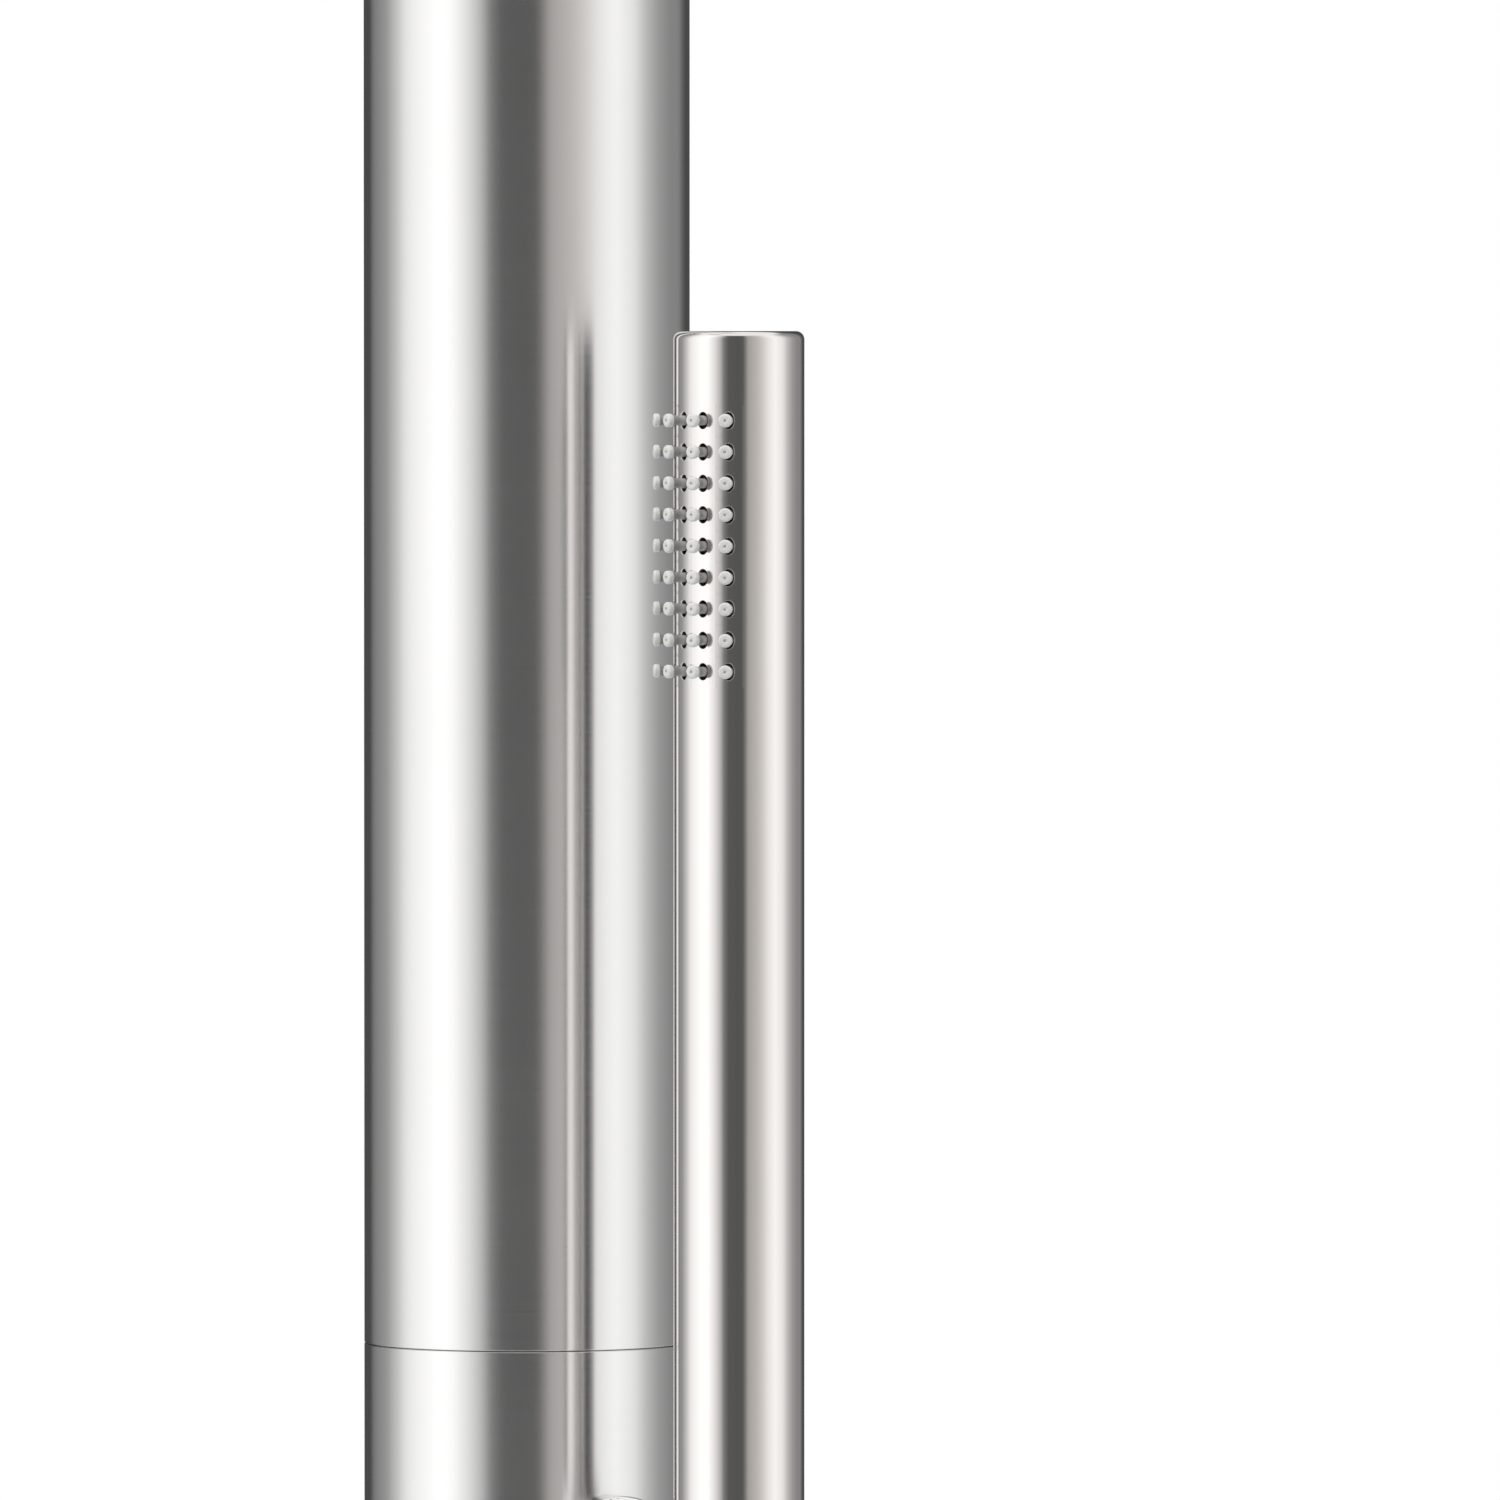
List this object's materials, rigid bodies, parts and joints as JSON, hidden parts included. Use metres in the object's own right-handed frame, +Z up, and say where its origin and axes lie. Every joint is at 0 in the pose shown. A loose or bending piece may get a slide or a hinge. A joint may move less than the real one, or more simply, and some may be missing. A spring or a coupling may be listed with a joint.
{
  "type": "outdoor shower post",
  "caption": "Free-standing round shower post with an overhead rain head on a bent arm, a single-lever mixer, a diverter, and a stick hand shower in a tilting holder.",
  "frame": {"origin": "on the floor at the centre of the base, which is the post's axis", "axes": "+Z up along the post; the overhead head is at the front, -Y; the hand shower is beside the post at +X"},
  "size_m": [0.22, 0.558, 2.2],
  "materials": {
    "post_steel": "fine brushed, nearly polished, grain round the tube",
    "trim_steel": "polished with a fine turned grain",
    "handset_steel": "fine brushed, nearly polished",
    "plain_steel": "plain machined",
    "screw_steel": "plain",
    "brass": "as machined",
    "black_rubber": "matt",
    "grey_silicone": "satin",
    "ceramic": "ground ceramic",
    "grey_plastic": "moulded",
    "white_plastic": "moulded, low friction"
  },
  "bodies": {
    "post": {"floor_seal": "black_rubber", "base_flange": "plain_steel", "base_cover": "trim_steel", "inlet_block": "brass", "inlet_block_screws": "screw_steel", "check_valves": "grey_plastic", "post_grub_screws": "screw_steel", "lower_post": "post_steel", "upper_post": "post_steel", "joint_sleeve": "plain_steel", "sleeve_screws": "screw_steel", "top_cap": "trim_steel", "cap_o_ring": "black_rubber", "hot_riser": "plain_steel", "cold_riser": "plain_steel", "riser_nuts": "brass", "pipe_clips": "grey_plastic", "mixed_pipe": "plain_steel", "riser_pipe": "plain_steel", "mixer_body": "brass", "cartridge_housing": "trim_steel", "cartridge_seal": "black_rubber", "cartridge_case": "grey_plastic", "fixed_disc": "ceramic", "cartridge_nut": "brass", "dome_shroud": "trim_steel", "diverter_body": "brass", "diverter_headwork": "brass", "diverter_collar": "trim_steel", "outlet_elbow": "trim_steel", "holder_arm": "trim_steel", "arm_nut": "screw_steel", "pivot_screw": "screw_steel", "arm_elbow": "brass", "head_arm": "trim_steel", "arm_rosette": "trim_steel", "ball_stud": "trim_steel"},
    "carrier": {"moving_disc": "ceramic", "lever_carrier": "white_plastic", "lever_pin": "plain_steel"},
    "lever": {"lever_stem": "brass", "mixer_handle": "trim_steel", "lever_rod": "trim_steel", "handle_grub_screw": "screw_steel"},
    "diverter": {"diverter_spindle": "brass", "diverter_knob": "trim_steel", "knob_grub_screw": "screw_steel"},
    "cup": {"holder_cup": "trim_steel", "holder_liner": "black_rubber"},
    "handset": {"handset_shell": "handset_steel", "nozzle_strip": "grey_silicone", "spray_core": "grey_plastic", "handset_foot": "trim_steel"},
    "seat": {"ball_seat": "white_plastic"},
    "head": {"ball_nut": "trim_steel", "head_shell": "trim_steel", "head_face": "trim_steel", "nozzle_mat": "grey_silicone", "face_screws": "screw_steel"}
  },
  "joints": [
    {"name": "temperature", "type": "hinge", "parent": "post", "child": "carrier", "pos_m": [0, -0.038, 0.98], "axis": [0, -1, 0], "range_deg": [-45, 45]},
    {"name": "flow", "type": "hinge", "parent": "carrier", "child": "lever", "pos_m": [0, -0.038, 0.98], "axis": [-1, 0, 0], "range_deg": [0, 25]},
    {"name": "diverter_turn", "type": "hinge", "parent": "post", "child": "diverter", "pos_m": [0, -0.06, 1.12], "axis": [0, -1, 0], "range_deg": [-90, 90]},
    {"name": "holder_tilt", "type": "hinge", "parent": "post", "child": "cup", "pos_m": [0.08, 0, 1.207], "axis": [1, 0, 0], "range_deg": [-30, 30]},
    {"name": "handset_lift", "type": "slide", "parent": "cup", "child": "handset", "axis": [0, 0, 1], "range_m": [0, 0.15]},
    {"name": "head_pitch", "type": "hinge", "parent": "post", "child": "seat", "pos_m": [0, -0.338, 2.05], "axis": [1, 0, 0], "range_deg": [-12, 12]},
    {"name": "head_roll", "type": "hinge", "parent": "seat", "child": "head", "pos_m": [0, -0.338, 2.05], "axis": [0, 1, 0], "range_deg": [-12, 12]}
  ]
}
